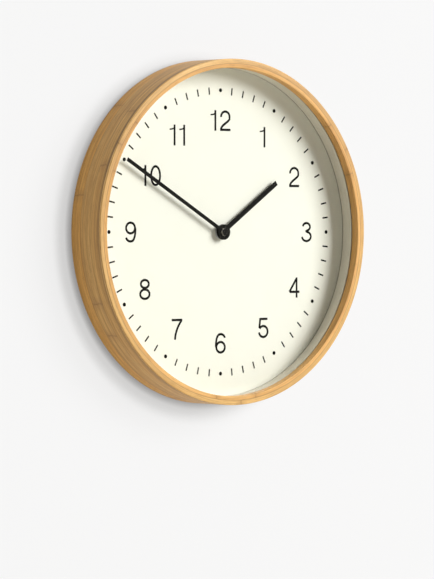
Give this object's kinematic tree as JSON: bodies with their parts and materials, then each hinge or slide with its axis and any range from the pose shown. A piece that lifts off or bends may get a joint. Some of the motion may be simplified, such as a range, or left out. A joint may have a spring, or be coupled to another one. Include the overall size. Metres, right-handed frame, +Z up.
{
  "type": "wall clock",
  "caption": "Round analogue wall clock: deep bamboo hoop case, flat glass, pale numbered dial, black bar hands, quartz movement with its train, cell and keyhole hanger.",
  "frame": {"origin": "on the axis of the hands, in the plane of the wall that the rear rim rests on", "axes": "+X to the viewer's right, +Y into the wall, +Z up towards twelve; the dial faces -Y"},
  "size_m": [0.3, 0.04, 0.3],
  "materials": {
    "bamboo": "satin lacquer",
    "board_wood": "raw hardboard",
    "packing_wood": "raw plywood",
    "lens": "clear polished",
    "spacer": "matte",
    "dial_card": "matte printed",
    "hand_black": "satin black paint",
    "brass": "turned",
    "rubber_black": "matte",
    "steel": "zinc plated",
    "housing_plastic": "fine texture",
    "wheel_plastic": "moulded",
    "knob_plastic": "moulded",
    "board_epoxy": "solder mask",
    "chip_epoxy": "epoxy",
    "copper": "enamelled wire",
    "bobbin_plastic": "moulded",
    "iron": "stamped",
    "magnet": "sintered",
    "contact_metal": "nickel plated",
    "cell_can": "bright",
    "cell_sleeve": "plain sleeve"
  },
  "bodies": {
    "clock": {"case_ring": "bamboo", "glass_lens": "lens", "spacer_ring": "spacer", "dial_plate": "dial_card", "packing_ring": "packing_wood", "back_board": "board_wood", "board_screws": "steel", "hanger_plate": "steel", "hanger_screws": "steel", "movement_housing": "housing_plastic", "movement_lid": "housing_plastic", "lid_screws": "steel", "train_plate": "bobbin_plastic", "threaded_bush": "brass", "cushion_washer": "rubber_black", "dial_washer": "steel", "hex_nut": "brass", "circuit_board": "board_epoxy", "circuit_chip": "chip_epoxy", "quartz_crystal": "contact_metal", "stator": "iron", "coil_core": "iron", "coil_bobbin": "bobbin_plastic", "coil_winding": "copper", "contact_positive": "contact_metal", "contact_negative": "contact_metal"},
    "minute_works": {"minute_arbor": "wheel_plastic", "minute_hand": "hand_black", "cap_nut": "hand_black"},
    "hour_works": {"hour_wheel": "wheel_plastic", "hour_hand": "hand_black"},
    "motion_wheel": {"minute_wheel": "wheel_plastic"},
    "setting_knob": {"set_knob": "knob_plastic"},
    "centre": {"centre_wheel": "wheel_plastic"},
    "third": {"third_wheel": "wheel_plastic"},
    "seconds": {"seconds_wheel": "wheel_plastic"},
    "fifth": {"fifth_wheel": "wheel_plastic"},
    "rotor": {"rotor_arbor": "wheel_plastic", "rotor_magnet": "magnet"},
    "battery": {"battery_can": "cell_can", "battery_sleeve": "cell_sleeve"}
  },
  "joints": [
    {"name": "minute_turn", "type": "hinge", "parent": "clock", "child": "minute_works", "pos_m": [0, 0, 0], "axis": [0, 1, 0], "continuous": true},
    {"name": "hour_turn", "type": "hinge", "parent": "clock", "child": "hour_works", "pos_m": [0, 0, 0], "axis": [0, 1, 0], "continuous": true},
    {"name": "motion_wheel_turn", "type": "hinge", "parent": "clock", "child": "motion_wheel", "pos_m": [-0.00902, 0, -0.00328], "axis": [0, 1, 0], "continuous": true},
    {"name": "set_knob_turn", "type": "hinge", "parent": "clock", "child": "setting_knob", "pos_m": [-0.01862, 0, -0.00328], "axis": [0, 1, 0], "continuous": true},
    {"name": "rotor_turn", "type": "hinge", "parent": "clock", "child": "rotor", "pos_m": [0.003, 0, 0.0108], "axis": [0, 1, 0], "continuous": true},
    {"name": "fifth_turn", "type": "hinge", "parent": "clock", "child": "fifth", "pos_m": [0.003, 0, 0.0052], "axis": [0, 1, 0], "continuous": true},
    {"name": "seconds_turn", "type": "hinge", "parent": "clock", "child": "seconds", "pos_m": [0, 0, 0], "axis": [0, 1, 0], "continuous": true},
    {"name": "third_turn", "type": "hinge", "parent": "clock", "child": "third", "pos_m": [0.00869, 0, -0.00233], "axis": [0, 1, 0], "continuous": true},
    {"name": "centre_turn", "type": "hinge", "parent": "clock", "child": "centre", "pos_m": [0, 0, 0], "axis": [0, 1, 0], "continuous": true},
    {"name": "battery_slide", "type": "slide", "parent": "clock", "child": "battery", "axis": [0, 1, 0], "range_m": [0, 0.03]}
  ],
  "couplings": [
    {"joint": "hour_turn", "follows": "minute_turn", "ratio": 0.083333},
    {"joint": "motion_wheel_turn", "follows": "minute_turn", "ratio": -0.33333},
    {"joint": "set_knob_turn", "follows": "minute_turn", "ratio": 1},
    {"joint": "fifth_turn", "follows": "rotor_turn", "ratio": -0.16667},
    {"joint": "seconds_turn", "follows": "rotor_turn", "ratio": 0.033333},
    {"joint": "third_turn", "follows": "rotor_turn", "ratio": -0.0044444},
    {"joint": "centre_turn", "follows": "rotor_turn", "ratio": 0.00055556}
  ]
}
